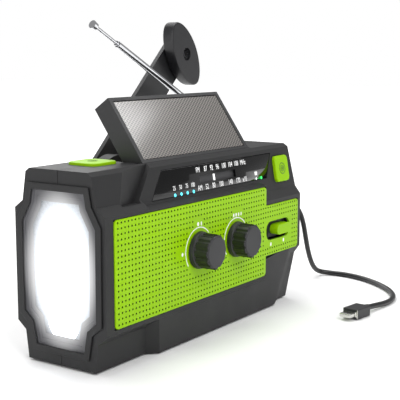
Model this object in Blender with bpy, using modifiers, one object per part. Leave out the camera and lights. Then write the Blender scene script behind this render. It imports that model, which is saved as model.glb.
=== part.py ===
"""Hand-crank emergency radio with a three-lamp torch end, a raised solar panel and a USB lead.

Metres, +Z up. X runs along the case from the torch end to the socket end, and the front faces -Y.
The origin is on the ground under the middle of the case. Sizes below are in millimetres.
"""
import math

import bmesh
import bpy
from mathutils import Matrix, Vector

MM = 0.001
GAP = 0.3

# Driving dimensions of the case
HALF_LENGTH = 102.5
HALF_DEPTH = 32.0
TOP = 107.0
BASE = 1.0
LEAN_RUN = 0.1697            # the upper front leans back this much per mm of height
LEAN = math.atan(LEAN_RUN)
LEAN_POINT = (0.0, -26.13, 88.9)

# Front controls
VOLUME = (-19.7, 54.3)
TUNING = (20.3, 54.3)
KNOB_FLANGE = 11.2
KNOB_GRIP = 10.0
KNOB_LENGTH = 12.5
STEM = 3.0
SWITCH = (71.8, 53.0)
SWITCH_SLOT = (30.0, 12.5)
PANEL_FRONT = -32.6
SPEAKER = (-63.5, 51.5)
SPEAKER_RADIUS = 20.0
ALARM = (85.0, 2.4, 16.8, 17.4)      # x, height up the leaning face, width, height
DIAL_POINTER_X = 8.9

# Top
TORCH_BUTTON = (-69.8, 4.3, 21.5, 21.0)
SOLAR_AXIS = (-15.2, 105.6)
SOLAR_X = (-53.0, 57.5)
SOLAR_THICK = 12.0
SOLAR_REACH = 43.0
SOLAR_LIP = 3.0
SOLAR_RAISED = math.radians(55.2)

# Rear drive
HUB = (-17.5, 86.5)
CRANK_PIVOT = (67.0, 166.9)
ARM_FRONT = 46.5
ARM_THICK = 3.0
ARM_WIDTH = 24.0
GEAR_STEP = 21.0
GENERATOR_STEP = 16.0

DOOR = (-2.0, 35.5, 74.0, 22.0)     # x, z, width, height

# Antenna
MAST = (95.0, 31.5, 118.0)
MAST_RISE = math.radians(26.7)
OUTER_TUBE_END = 122.0
ROD_END = 147.5

# Lead
PORT = (-10.0, 59.0)
LEAD_RADIUS = 1.8
LEAD_ROUTE = (
    (128.3, -10.0, 59.0), (132.0, -10.0, 58.8), (136.6, -10.6, 56.4), (140.6, -11.8, 51.0),
    (143.2, -13.1, 42.5), (145.2, -14.0, 32.5), (149.0, -14.2, 22.0), (154.8, -13.9, 13.0),
    (162.0, -13.3, 6.8), (169.5, -13.6, 3.2), (174.3, -20.0, 1.9), (175.2, -32.0, 1.9),
    (172.0, -46.0, 1.9), (164.5, -60.5, 1.9), (153.5, -74.5, 1.9), (141.5, -84.6, 1.9),
    (128.5, -90.4, 1.9), (114.5, -91.6, 2.2), (101.0, -89.8, 3.0), (93.3, -88.8, 3.5),
)
CONNECTOR_HEADING = (-0.992, 0.127)

parts = bpy.data.collections.new("emergency_radio")
cutters = bpy.data.collections.new("cutters")


def clear_scene():
    for old in list(bpy.data.objects):
        bpy.data.objects.remove(old, do_unlink=True)
    bpy.context.scene.collection.children.link(parts)
    bpy.context.scene.collection.children.link(cutters)


def finish(name, colour, roughness, metallic):
    material = bpy.data.materials.new(name)
    material.use_nodes = True
    shader = material.node_tree.nodes["Principled BSDF"]
    shader.inputs["Base Color"].default_value = (*colour, 1.0)
    shader.inputs["Roughness"].default_value = roughness
    shader.inputs["Metallic"].default_value = metallic
    return material


CASE = ((0.063, 0.063, 0.068), 0.5, 0.0)
LIME = ((0.42, 0.78, 0.0), 0.42, 0.0)
BLACK = ((0.02, 0.02, 0.022), 0.35, 0.0)
GLASS = ((0.9, 0.92, 0.95), 0.05, 0.0)
STEEL = ((0.62, 0.62, 0.64), 0.25, 1.0)
BOARD = ((0.02, 0.14, 0.05), 0.5, 0.0)
RUBBER = ((0.015, 0.015, 0.016), 0.8, 0.0)
WHITE = ((0.8, 0.8, 0.78), 0.45, 0.0)
BRASS = ((0.7, 0.5, 0.2), 0.35, 1.0)
CELL = ((0.05, 0.16, 0.4), 0.4, 0.0)


def publish(name, bm, look=None, axis_point=None):
    """One object from a bmesh in millimetres. No look makes it a cutter; axis_point sets its origin."""
    bmesh.ops.remove_doubles(bm, verts=bm.verts, dist=0.002)
    bmesh.ops.recalc_face_normals(bm, faces=bm.faces)
    origin = Vector(axis_point or (0.0, 0.0, 0.0))
    bm.transform(Matrix.Scale(MM, 4) @ Matrix.Translation(-origin))
    mesh = bpy.data.meshes.new(name)
    bm.to_mesh(mesh)
    bm.free()
    obj = bpy.data.objects.new(name, mesh)
    obj.location = origin * MM
    if look is None:
        cutters.objects.link(obj)
        obj.hide_render = True
        obj.display_type = "WIRE"
        return obj
    parts.objects.link(obj)
    mesh.materials.append(finish(name, *look))
    mesh.shade_smooth()
    mesh.set_sharp_from_angle(angle=math.radians(35))
    return obj


def add_box(bm, low, high):
    middle = [(a + b) / 2 for a, b in zip(low, high)]
    size = [b - a for a, b in zip(low, high)]
    bmesh.ops.create_cube(bm, size=1.0, matrix=Matrix.Translation(middle) @ Matrix.Diagonal((*size, 1.0)))
    return bm


def add_rod(bm, start, end, radius, end_radius=None, segments=24):
    """A cylinder or cone between two points."""
    start, end = Vector(start), Vector(end)
    along = end - start
    place = Matrix.Translation((start + end) / 2) @ along.to_track_quat("Z", "Y").to_matrix().to_4x4()
    bmesh.ops.create_cone(bm, cap_ends=True, segments=segments, radius1=radius,
                          radius2=radius if end_radius is None else end_radius,
                          depth=along.length, matrix=place)
    return bm


def add_prism(bm, outline, axis, low, high):
    """An outline pushed along an axis: its points are (y, z) for X, (x, z) for Y and (x, y) for Z."""
    spread = {"X": lambda a, b, t: (t, a, b), "Y": lambda a, b, t: (a, t, b), "Z": lambda a, b, t: (a, b, t)}[axis]
    face = bm.faces.new([bm.verts.new(spread(a, b, low)) for a, b in outline])
    grown = bmesh.ops.extrude_face_region(bm, geom=[face])["geom"]
    moved = [v for v in grown if isinstance(v, bmesh.types.BMVert)]
    bmesh.ops.translate(bm, verts=moved, vec=Vector(spread(0.0, 0.0, high - low)))
    return bm


def add_hull(bm, points):
    bmesh.ops.convex_hull(bm, input=[bm.verts.new(p) for p in points])
    return bm


def rounded(width, height, radius, steps=4, centre=(0.0, 0.0)):
    """A rounded rectangle, anticlockwise."""
    points = []
    for quarter, (sx, sy) in enumerate(((1, 1), (-1, 1), (-1, -1), (1, -1))):
        for step in range(steps + 1):
            angle = math.pi / 2 * (quarter + step / steps)
            points.append((centre[0] + sx * (width / 2 - radius) + radius * math.cos(angle),
                           centre[1] + sy * (height / 2 - radius) + radius * math.sin(angle)))
    return points


def mirrored(half):
    """A closed profile, symmetric about its second axis, from its right half, bottom to top."""
    return list(half) + [(-a, b) for a, b in reversed(half)]


def leaning(bm):
    """Carries a shape drawn on an upright face at the origin onto the leaning upper front."""
    bm.transform(Matrix.Translation(LEAN_POINT) @ Matrix.Rotation(-LEAN, 4, "X"))
    return bm


def boolean(target, other, operation="DIFFERENCE"):
    step = target.modifiers.new(f"{operation.lower()} {other.name}", "BOOLEAN")
    step.operation = operation
    step.solver = "EXACT"
    step.object = other


def settle(obj):
    """Replaces an object's mesh with the one that its modifiers make."""
    bpy.context.view_layer.update()
    shaped = obj.evaluated_get(bpy.context.evaluated_depsgraph_get())
    mesh = bpy.data.meshes.new_from_object(shaped)
    obj.modifiers.clear()
    obj.data = mesh
    mesh.shade_smooth()
    mesh.set_sharp_from_angle(angle=math.radians(35))
    return obj


def cut(target, label, bm):
    boolean(target, publish(f"{target.name}_{label}", bm))


def add(target, label, bm):
    boolean(target, publish(f"{target.name}_{label}", bm), "UNION")


def ring(count, radius, centre=(0.0, 0.0), turn=0.0):
    return [(centre[0] + radius * math.cos(turn + 2 * math.pi * i / count),
             centre[1] + radius * math.sin(turn + 2 * math.pi * i / count)) for i in range(count)]


# ---------------------------------------------------------------- case

BOSSES = ((-76.0, 14.0, 25.0), (-76.0, 76.0, 30.8), (86.0, 14.0, 25.0), (66.0, 82.0, 26.2))   # x, z, wall
TORCH_MOUTH = mirrored(((18.0, 9.5), (20.5, 22.5), (26.8, 27.5), (27.2, 78.0), (21.0, 88.5), (19.5, 97.0)))
PANEL_OUTLINE = ((-95.7, 24.2), (56.7, 24.2), (56.7, 37.0), (98.6, 37.0),
                 (98.6, 70.1), (56.7, 70.1), (56.7, 82.4), (-95.7, 82.4))
DIAL_OUTLINE = ((-56.0, -2.0), (66.7, -2.0), (74.8, 13.5), (-44.6, 13.8))


def inset(outline, by):
    """The outline moved inwards along its corner bisectors; negative moves it outwards."""
    count = len(outline)
    area = sum(outline[i - 1][0] * outline[i][1] - outline[i][0] * outline[i - 1][1] for i in range(count))
    turn = 1.0 if area > 0 else -1.0
    result = []
    for i, (x, y) in enumerate(outline):
        before = (Vector((x, y)) - Vector(outline[i - 1])).normalized()
        after = (Vector(outline[(i + 1) % count]) - Vector((x, y))).normalized()
        normal_a = Vector((-before.y, before.x)) * turn
        normal_b = Vector((-after.y, after.x)) * turn
        bisector = normal_a + normal_b
        result.append(tuple(Vector((x, y)) + bisector * (2 * by / bisector.length_squared)))
    return result


def case_form():
    """The whole outside of the case: a core, the deep middle band in three lengths, a skirt and a drive bulge."""
    core = mirrored(((24.2, BASE), (29.0, 40.0), (29.0, 72.0), (23.4, 105.0), (20.5, TOP)))
    form = publish("case_form", add_prism(bmesh.new(), core, "X", -HALF_LENGTH, HALF_LENGTH))
    left = mirrored(((26.3, 17.0), (HALF_DEPTH, 21.5), (HALF_DEPTH, 84.7), (26.3, 88.9)))
    centre = ((26.3, 17.0), (HALF_DEPTH, 21.5), (HALF_DEPTH, 84.7), (26.3, 88.9),
              (-26.6, 85.0), (-HALF_DEPTH, 83.2), (-HALF_DEPTH, 21.5), (-26.3, 17.0))
    right = mirrored(((28.0, 31.5), (HALF_DEPTH, 37.0), (HALF_DEPTH, 73.0), (28.0, 78.0)))
    add(form, "left", add_prism(bmesh.new(), left, "X", -HALF_LENGTH, -66.0))
    add(form, "centre", add_prism(bmesh.new(), centre, "X", -68.0, 57.5))
    add(form, "right", add_prism(bmesh.new(), right, "X", 55.0, HALF_LENGTH))
    add(form, "skirt", add_hull(bmesh.new(), (
        (-57.5, -31.9, 23.0), (-54.5, -29.8, BASE), (-66.0, -25.0, 23.0), (-61.0, -23.5, BASE),
        (88.0, -31.9, 38.0), (73.0, -29.8, BASE), (93.5, -22.0, 3.2), (101.0, -27.5, 36.0),
        (-57.5, -10.0, 23.0), (-54.5, -10.0, BASE), (93.5, -10.0, 3.2), (101.0, -10.0, 36.0))))
    bulge = bmesh.new()
    add_hull(bulge, [(x, y, z) for y in (20.0, 37.5) for x, z in ring(40, 19.5, HUB)
                     + ring(40, 16.0, (HUB[0], HUB[1] - GEAR_STEP))])
    add(form, "bulge", bulge)
    add(form, "mast_lug", add_prism(bmesh.new(), rounded(13.0, 19.0, 5.0, centre=(94.5, 27.3)), "Z", 92.0, 105.0))
    taper = bmesh.new()
    add_prism(taper, ((102.5, 31.0), (97.3, 0.0), (115.0, 0.0), (115.0, 31.0)), "Y", -40.0, 40.0)
    add_prism(taper, ((115.0, 78.0), (115.0, 112.0), (98.3, 112.0), (102.5, 78.0)), "Y", -40.0, 27.0)
    cut(form, "taper", taper)
    scoop = bmesh.new()
    add_hull(scoop, ((-84.0, -26.2, 87.4), (-84.0, -40.0, 87.4), (-67.2, -40.0, 87.4), (-68.6, -22.6, 87.4),
                     (-76.0, -22.4, 110.0), (-76.0, -40.0, 110.0), (-48.4, -40.0, 110.0), (-50.2, -19.6, 110.0)))
    cut(form, "scoop", scoop)
    return settle(form)


def cavity():
    """What is hollow inside the case: the body, the socket end and the room under the top."""
    middle = ((-22.0, 3.4), (-24.4, 20.0), (-29.6, 24.0), (-29.6, 80.0), (-18.0, 83.5), (-18.0, 91.5),
              (22.5, 91.5), (24.4, 86.5), (29.6, 82.2), (29.6, 24.0), (24.4, 20.0), (22.0, 3.4))
    room = publish("cavity", add_prism(bmesh.new(), middle, "X", -86.0, 55.2))
    low = mirrored(((22.0, 3.4), (26.2, 34.0), (29.4, 39.0), (29.4, 71.0), (25.6, 76.0), (22.6, 91.5)))
    add(room, "socket_end", add_prism(bmesh.new(), low, "X", 54.0, 95.5))
    high = mirrored(((23.0, 89.0), (20.6, 104.4)))
    add(room, "under_top", add_prism(bmesh.new(), high, "X", 61.0, 95.0))
    add(room, "under_torch_button", add_box(bmesh.new(), (-84.0, -13.0, 88.0), (-58.0, 18.0, 104.4)))
    drive = bmesh.new()
    add_hull(drive, [(x, y, z) for y in (29.9, 35.5)
                     for x, z in ring(40, 17.3, HUB) + ring(40, 14.0, (HUB[0], HUB[1] - GEAR_STEP))])
    add(room, "drive", drive)
    add(room, "drive_neck", add_rod(bmesh.new(), (HUB[0], 22.0, HUB[1] - GEAR_STEP),
                                    (HUB[0], 31.0, HUB[1] - GEAR_STEP), 13.6, segments=40))
    add(room, "torch", add_prism(bmesh.new(), TORCH_MOUTH, "X", -110.0, -85.0))
    return settle(room)


def solar_well():
    return add_box(bmesh.new(), (-53.7, -19.2, 95.0), (58.2, 28.9, 120.0))


def half_case(name, form, room, keep_low, keep_high):
    half = publish(name, add_box(bmesh.new(), keep_low, keep_high), CASE)
    boolean(half, form, "INTERSECT")
    boolean(half, room)
    cut(half, "solar_well", solar_well())
    cut(half, "button_hole", add_prism(bmesh.new(), rounded(
        TORCH_BUTTON[2] + 2 * GAP, TORCH_BUTTON[3] + 2 * GAP, 5.0, centre=TORCH_BUTTON[:2]), "Z", 100.0, 112.0))
    return half


def front_case(form, room):
    front = half_case("front_housing", form, room, (-110, -50, -5), (110, -GAP / 2, 125))
    posts = bmesh.new()
    for x, z, wall in BOSSES:
        add_rod(posts, (x, -wall, z), (x, -0.4, z), 3.6, segments=16)
    add(front, "posts", posts)
    cut(front, "panel_pocket", add_prism(bmesh.new(), inset(PANEL_OUTLINE, -GAP), "Y", -40.0, -30.8))
    holes = bmesh.new()
    add_rod(holes, (SPEAKER[0], -34, SPEAKER[1]), (SPEAKER[0], -28, SPEAKER[1]), 18.5, segments=40)
    for x, z in (VOLUME, TUNING):
        add_rod(holes, (x, -34, z), (x, -28, z), 4.2)
    add_prism(holes, rounded(*SWITCH_SLOT, 6.0, centre=SWITCH), "Y", -34.0, -28.0)
    for x, z, _ in BOSSES:
        add_rod(holes, (x, -15, z), (x, 2, z), 1.85, segments=12)
    cut(front, "holes", holes)
    pocket = add_prism(bmesh.new(), inset(DIAL_OUTLINE, -GAP), "Y", -6.0, 3.0)
    cut(front, "dial_pocket", leaning(pocket))
    opening = add_prism(bmesh.new(), rounded(ALARM[2] + 2 * GAP, ALARM[3] + 2 * GAP, 3.3, centre=ALARM[:2]),
                        "Y", -6.0, 7.0)
    cut(front, "alarm_opening", leaning(opening))
    cut(front, "hinge_seats", add_rod(bmesh.new(), (SOLAR_X[0] - 4.0, *SOLAR_AXIS), (SOLAR_X[1] + 4.0, *SOLAR_AXIS),
                                      1.6, segments=16))
    cut(front, "socket_window", add_prism(bmesh.new(), rounded(14.6, 34.6, 3.0, centre=(PORT[0], 51.0)),
                                          "X", 90.0, 110.0))
    return front


def rear_case(form, room):
    rear = half_case("rear_housing", form, room, (-110, GAP / 2, -5), (110, 60, 125))
    posts = bmesh.new()
    for x, z, wall in BOSSES:
        add_rod(posts, (x, 0.4, z), (x, wall, z), 4.6, segments=16)
    add(rear, "posts", posts)
    holes = bmesh.new()
    wells = bmesh.new()
    for x, z, _ in BOSSES:
        add_rod(holes, (x, -1, z), (x, 21, z), 1.85, segments=12)
        add_rod(wells, (x, 18, z), (x, 40, z), 3.3, segments=16)
    add_rod(holes, (HUB[0], 34, HUB[1]), (HUB[0], 45, HUB[1]), 4.4)
    add_rod(holes, (HUB[0], 15, HUB[1]), (HUB[0], 31, HUB[1]), 4.4)
    add_rod(holes, (MAST[0], MAST[1], 97.0), (MAST[0], MAST[1], 110.0), 3.4)
    cut(rear, "holes", holes)
    cut(rear, "screw_wells", wells)
    cut(rear, "door_pocket", add_prism(bmesh.new(), rounded(*(size + 2 * GAP for size in DOOR[2:]), 3.0,
                                                               centre=DOOR[:2]), "Y", 30.4, 36.0))
    cut(rear, "battery_mouth", add_prism(bmesh.new(), rounded(68.0, 19.6, 3.0, centre=DOOR[:2]),
                                                           "Y", 25.0, 36.0))
    return rear


def feet():
    publish("base_pad", add_prism(bmesh.new(), rounded(120, 28, 5), "Z", 0.0, 0.7), RUBBER)
    publish("foot_left", add_prism(bmesh.new(), rounded(12, 38, 3, centre=(-91, 0)), "Z", 0.0, 0.7), RUBBER)
    publish("foot_right", add_prism(bmesh.new(), rounded(12, 34, 3, centre=(87, 0)), "Z", 0.0, 0.7), RUBBER)


def case_screws():
    for number, (x, z, _) in enumerate(BOSSES, 1):
        bm = add_rod(bmesh.new(), (x, 18.3, z), (x, 20.6, z), 2.9, segments=20)
        screw = publish(f"case_screw_{number}", bm, STEEL)
        add(screw, "shank", add_rod(bmesh.new(), (x, -12.0, z), (x, 19.0, z), 1.5, segments=12))
        slot = add_box(bmesh.new(), (x - 1.8, 19.7, z - 0.35), (x + 1.8, 22.0, z + 0.35))
        cut(screw, "drive_slot", slot)


# ---------------------------------------------------------------- torch end

LAMPS = (74.0, 49.3, 24.6)


def torch_end():
    frame = publish("torch_bezel", add_prism(bmesh.new(), inset(TORCH_MOUTH, -2.6), "X", -103.8, -102.8), CASE)
    cut(frame, "mouth", add_prism(bmesh.new(), inset(TORCH_MOUTH, 1.2), "X", -106.0, -101.0))
    publish("torch_lens", add_prism(bmesh.new(), inset(TORCH_MOUTH, GAP), "X", -102.3, -100.7), GLASS)
    reflector = publish("reflector", add_prism(bmesh.new(), inset(TORCH_MOUTH, 0.5), "X", -100.2, -87.0), STEEL)
    bowl = [(11.6 * math.sqrt(t), -1.0 + 12.6 * (1 - t)) for t in (1.0, 0.8, 0.6, 0.42, 0.26, 0.13, 0.0)]
    for number, z in enumerate(LAMPS, 1):
        hollow = bmesh.new()
        rings = []
        for radius, depth in bowl[:-1]:
            rings.append([hollow.verts.new((-100.2 + depth, y, h)) for y, h in ring(32, radius, (0.0, z))])
        lid = [hollow.verts.new((-103.0, y, h)) for y, h in ring(32, bowl[0][0], (0.0, z))]
        for low, high in zip([lid] + rings[:-1], rings):
            for i in range(32):
                hollow.faces.new((low[i - 1], low[i], high[i], high[i - 1]))
        hollow.faces.new(lid)
        hollow.faces.new(rings[-1])
        cut(reflector, f"cup_{number}", hollow)
        cut(reflector, f"lamp_hole_{number}", add_rod(bmesh.new(), (-93.0, 0, z), (-80.0, 0, z), 3.0))
    board = publish("torch_led_board", add_box(bmesh.new(), (-86.5, -17.0, 12.0), (-85.1, 17.0, 86.0)), BOARD)
    lamps = bmesh.new()
    for z in LAMPS:
        add_rod(lamps, (-91.5, 0, z), (-86.0, 0, z), 1.7, 2.6)
    add(board, "lamps", lamps)


# ---------------------------------------------------------------- front controls

def grille():
    panel = publish("grille_panel", add_prism(bmesh.new(), PANEL_OUTLINE, "Y", PANEL_FRONT, -31.1), LIME)
    holes = bmesh.new()
    for x, z in (VOLUME, TUNING):
        add_rod(holes, (x, -40, z), (x, -28, z), 4.2)
    add_prism(holes, rounded(*SWITCH_SLOT, 6.0, centre=SWITCH), "Y", -40.0, -28.0)
    pitch = 4.4
    for row in range(-4, 5):
        for column in range(-4, 5):
            x = SPEAKER[0] + pitch * (column + 0.5 * (row % 2))
            z = SPEAKER[1] + pitch * 0.866 * row
            if math.hypot(x - SPEAKER[0], z - SPEAKER[1]) < 17.0:
                add_rod(holes, (x, -36, z), (x, -29, z), 1.25, segments=6)
    cut(panel, "holes", holes)


def speaker():
    x, z = SPEAKER
    basket = publish("speaker_frame", add_rod(bmesh.new(), (x, -29.3, z), (x, -27.6, z), SPEAKER_RADIUS, segments=32),
                     STEEL)
    add(basket, "bowl", add_rod(bmesh.new(), (x, -28.0, z), (x, -20.0, z), 18.5, 12.5, segments=32))
    add(basket, "magnet", add_rod(bmesh.new(), (x, -20.5, z), (x, -13.0, z), 12.0, segments=32))
    cut(basket, "cone_room", add_rod(bmesh.new(), (x, -30.0, z), (x, -21.5, z), 17.6, 11.0, segments=32))
    cone = publish("speaker_cone", add_rod(bmesh.new(), (x, -28.8, z), (x, -23.6, z), 15.9, 9.0, segments=32), BLACK)
    cut(cone, "dish", add_rod(bmesh.new(), (x, -29.4, z), (x, -25.0, z), 15.7, 7.4, segments=32))


def dial():
    window = add_prism(bmesh.new(), DIAL_OUTLINE, "Y", 0.1, 1.1)
    publish("dial_window", leaning(window), BLACK)
    scale = add_prism(bmesh.new(), inset(DIAL_OUTLINE, 0.4), "Y", 2.1, 2.7)
    publish("dial_scale", leaning(scale), WHITE)
    pointer = add_box(bmesh.new(), (DIAL_POINTER_X - 0.8, 1.4, 2.9), (DIAL_POINTER_X + 0.8, 1.8, 6.9))
    publish("dial_pointer", leaning(pointer), WHITE)


def fluted(x, z, name, look):
    """A knob: a wide foot, a grip with twelve flutes, a chamfered cap and the stem that turns the spindle."""
    back = PANEL_FRONT - 0.5
    knob = publish(name, add_rod(bmesh.new(), (x, back, z), (x, back - 2.8, z), KNOB_FLANGE, KNOB_FLANGE - 0.6,
                                 segments=36), look, (x, 0.0, z))
    add(knob, "grip", add_rod(bmesh.new(), (x, back - 2.0, z), (x, back - KNOB_LENGTH + 0.8, z), KNOB_GRIP,
                              segments=36))
    add(knob, "cap", add_rod(bmesh.new(), (x, back - KNOB_LENGTH + 1.2, z), (x, back - KNOB_LENGTH, z), KNOB_GRIP - 0.2,
                             KNOB_GRIP - 1.2, segments=36))
    add(knob, "stem", add_rod(bmesh.new(), (x, back - 1.0, z), (x, -25.0, z), STEM))
    flutes = bmesh.new()
    for fx, fz in ring(12, KNOB_GRIP + 0.7, (x, z), math.pi / 12):
        add_rod(flutes, (fx, back - 3.2, fz), (fx, back - KNOB_LENGTH - 2.0, fz), 1.5, segments=10)
    cut(knob, "flutes", flutes)


def controls():
    fluted(*VOLUME, "volume_knob", BLACK)
    fluted(*TUNING, "tuning_knob", BLACK)
    x, z = VOLUME
    publish("volume_pot", add_rod(bmesh.new(), (x, -24.6, z), (x, -14.3, z), 8.5), STEEL)
    x, z = TUNING
    publish("tuning_capacitor", add_box(bmesh.new(), (x - 10, -24.6, z - 10), (x + 10, -14.3, z + 10)), WHITE)
    drum = publish("tuning_drum", add_rod(bmesh.new(), (x, -28.9, z), (x, -26.6, z), 12.0, segments=36), WHITE,
                   (x, 0.0, z))
    cut(drum, "bore", add_rod(bmesh.new(), (x, -31, z), (x, -24, z), STEM + GAP))
    slider = publish("band_slider", add_prism(bmesh.new(), rounded(17.5, 6.8, 3.2, centre=(75.3, SWITCH[1])), "Y",
                                              -35.2, -28.0), LIME)
    add(slider, "shoe", add_box(bmesh.new(), (64.0, -29.2, 47.6), (86.4, -27.4, 58.4)))
    publish("band_switch", add_box(bmesh.new(), (60.0, -27.0, 47.0), (84.0, -21.0, 59.0)), STEEL)


def alarm():
    button = publish("alarm_button", leaning(add_prism(
        bmesh.new(), rounded(ALARM[2], ALARM[3], 3.0, centre=ALARM[:2]), "Y", -2.0, 3.4)), LIME)
    edge = button.modifiers.new("edge", "BEVEL")
    edge.width = 0.7 * MM
    edge.segments = 2
    publish("alarm_switch", leaning(add_box(
        bmesh.new(), (ALARM[0] - 4, 5.2, ALARM[1] - 4), (ALARM[0] + 4, 9.0, ALARM[1] + 4))), BLACK)


def torch_button():
    button = publish("torch_button", add_prism(
        bmesh.new(), rounded(TORCH_BUTTON[2], TORCH_BUTTON[3], 4.7, centre=TORCH_BUTTON[:2]), "Z", 103.6, 108.6), LIME)
    edge = button.modifiers.new("edge", "BEVEL")
    edge.width = 0.8 * MM
    edge.segments = 2
    x, y = TORCH_BUTTON[:2]
    publish("torch_switch", add_box(bmesh.new(), (x - 4, y - 4, 96.5), (x + 4, y + 4, 101.6)), BLACK)


# ---------------------------------------------------------------- solar panel

def raised(bm):
    """Turns the closed panel about its hinge to the raised position."""
    axis = Matrix.Translation((0.0, *SOLAR_AXIS))
    bm.transform(axis @ Matrix.Rotation(SOLAR_RAISED, 4, "X") @ axis.inverted())
    return bm


def solar_panel():
    y, z = SOLAR_AXIS
    top = z + SOLAR_LIP
    bottom = top - SOLAR_THICK
    side = [(y + SOLAR_REACH, bottom), (y + SOLAR_REACH, top)]
    side += [(y + SOLAR_LIP * math.cos(a), z + SOLAR_LIP * math.sin(a))
             for a in (math.radians(90 + 15 * step) for step in range(10))]
    side += [(y, bottom)]
    slab = raised(add_prism(bmesh.new(), side, "X", *SOLAR_X))
    frame = publish("solar_frame", slab, CASE, (0.0, y, z))
    low, high = SOLAR_X
    cut(frame, "glass_pocket", raised(add_box(bmesh.new(), (low + 3, y + 1.6, top - 2.2),
                                              (high - 3, y + SOLAR_REACH - 2.4, top + 4))))
    cut(frame, "lamp_pocket", raised(add_box(bmesh.new(), (low + 16, y + 13, bottom - 3),
                                             (high - 16, y + 33, bottom + 3.2))))
    cut(frame, "hinge_bore", add_rod(bmesh.new(), (low - 3, y, z), (high + 3, y, z), 1.6, segments=16))
    publish("solar_cell", raised(add_box(bmesh.new(), (low + 3 + GAP, y + 1.6 + GAP, top - 1.9),
                                         (high - 3 - GAP, y + SOLAR_REACH - 2.4 - GAP, top - 0.3))), BLACK,
            (0.0, y, z))
    publish("reading_lamp", raised(add_box(bmesh.new(), (low + 16 + GAP, y + 13 + GAP, bottom - 0.2),
                                           (high - 16 - GAP, y + 33 - GAP, bottom + 2.6))), WHITE, (0.0, y, z))
    publish("solar_hinge_pin", add_rod(bmesh.new(), (low - 3.4, y, z), (high + 3.4, y, z), 1.2, segments=16), STEEL)


# ---------------------------------------------------------------- antenna

def along_mast(distance, lift=0.0):
    """A point on the mast: distance from its pivot, and lift square to it, upwards."""
    return (MAST[0] - distance * math.cos(MAST_RISE) + lift * math.sin(MAST_RISE), MAST[1],
            MAST[2] + distance * math.sin(MAST_RISE) + lift * math.cos(MAST_RISE))


def antenna():
    x, y, z = MAST
    base = publish("antenna_base", add_rod(bmesh.new(), (x, y, 98.2), (x, y, 105.8), 3.0), STEEL, (x, y, 0.0))
    add(base, "collar", add_rod(bmesh.new(), (x, y, 105.3), (x, y, 112.5), 5.2))
    fork = bmesh.new()
    add_hull(fork, [(x + dx, y + dy, h) for dx in (-3.2, 3.2) for dy in (-4.6, 4.6) for h in (111.0, z)]
             + [(x + a, y + dy, z + b) for a, b in ring(16, 3.2) for dy in (-4.6, 4.6)])
    add(base, "fork", fork)
    cut(base, "slot", add_box(bmesh.new(), (x - 6, y - 2.5, 113.2), (x + 6, y + 2.5, 125)))
    cut(base, "pin_hole", add_rod(bmesh.new(), (x, y - 8, z), (x, y + 8, z), 1.4, segments=16))
    publish("antenna_pin", add_rod(bmesh.new(), (x, y - 5.0, z), (x, y + 5.0, z), 1.1, segments=16), STEEL, MAST)
    tube = publish("antenna_outer_tube", add_rod(bmesh.new(), (x, y - 2.1, z), (x, y + 2.1, z), 3.0, segments=20),
                   STEEL, MAST)
    add(tube, "tube", add_rod(bmesh.new(), along_mast(2.0), along_mast(OUTER_TUBE_END), 2.1, segments=16))
    add(tube, "root", add_rod(bmesh.new(), along_mast(1.5), along_mast(9.0), 2.05, 2.45, segments=16))
    cut(tube, "bore", add_rod(bmesh.new(), along_mast(12.0), along_mast(OUTER_TUBE_END + 5), 1.85, segments=16))
    cut(tube, "pin_hole", add_rod(bmesh.new(), (x, y - 4, z), (x, y + 4, z), 1.4, segments=16))
    middle = publish("antenna_middle_tube", add_rod(bmesh.new(), along_mast(14.0), along_mast(OUTER_TUBE_END + 1.6),
                                                    1.58, segments=16), STEEL, MAST)
    cut(middle, "bore", add_rod(bmesh.new(), along_mast(16.0), along_mast(OUTER_TUBE_END + 5), 1.35, segments=16))
    rod = publish("antenna_tip_rod", add_rod(bmesh.new(), along_mast(37.0), along_mast(ROD_END - 1), 1.05,
                                             segments=12), STEEL, MAST)
    add(rod, "tip", add_rod(bmesh.new(), along_mast(ROD_END - 3.4), along_mast(ROD_END), 2.2, 2.6, segments=16))


# ---------------------------------------------------------------- crank and generator

ARM = (Vector((CRANK_PIVOT[0], CRANK_PIVOT[1])) - Vector(HUB)).normalized()
ACROSS = Vector((-ARM.y, ARM.x))
ARM_MIDDLE = ARM_FRONT + ARM_THICK / 2


def on_arm(along, across, y):
    spot = Vector(HUB) + ARM * along + ACROSS * across
    return (spot.x, y, spot.y)


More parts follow.
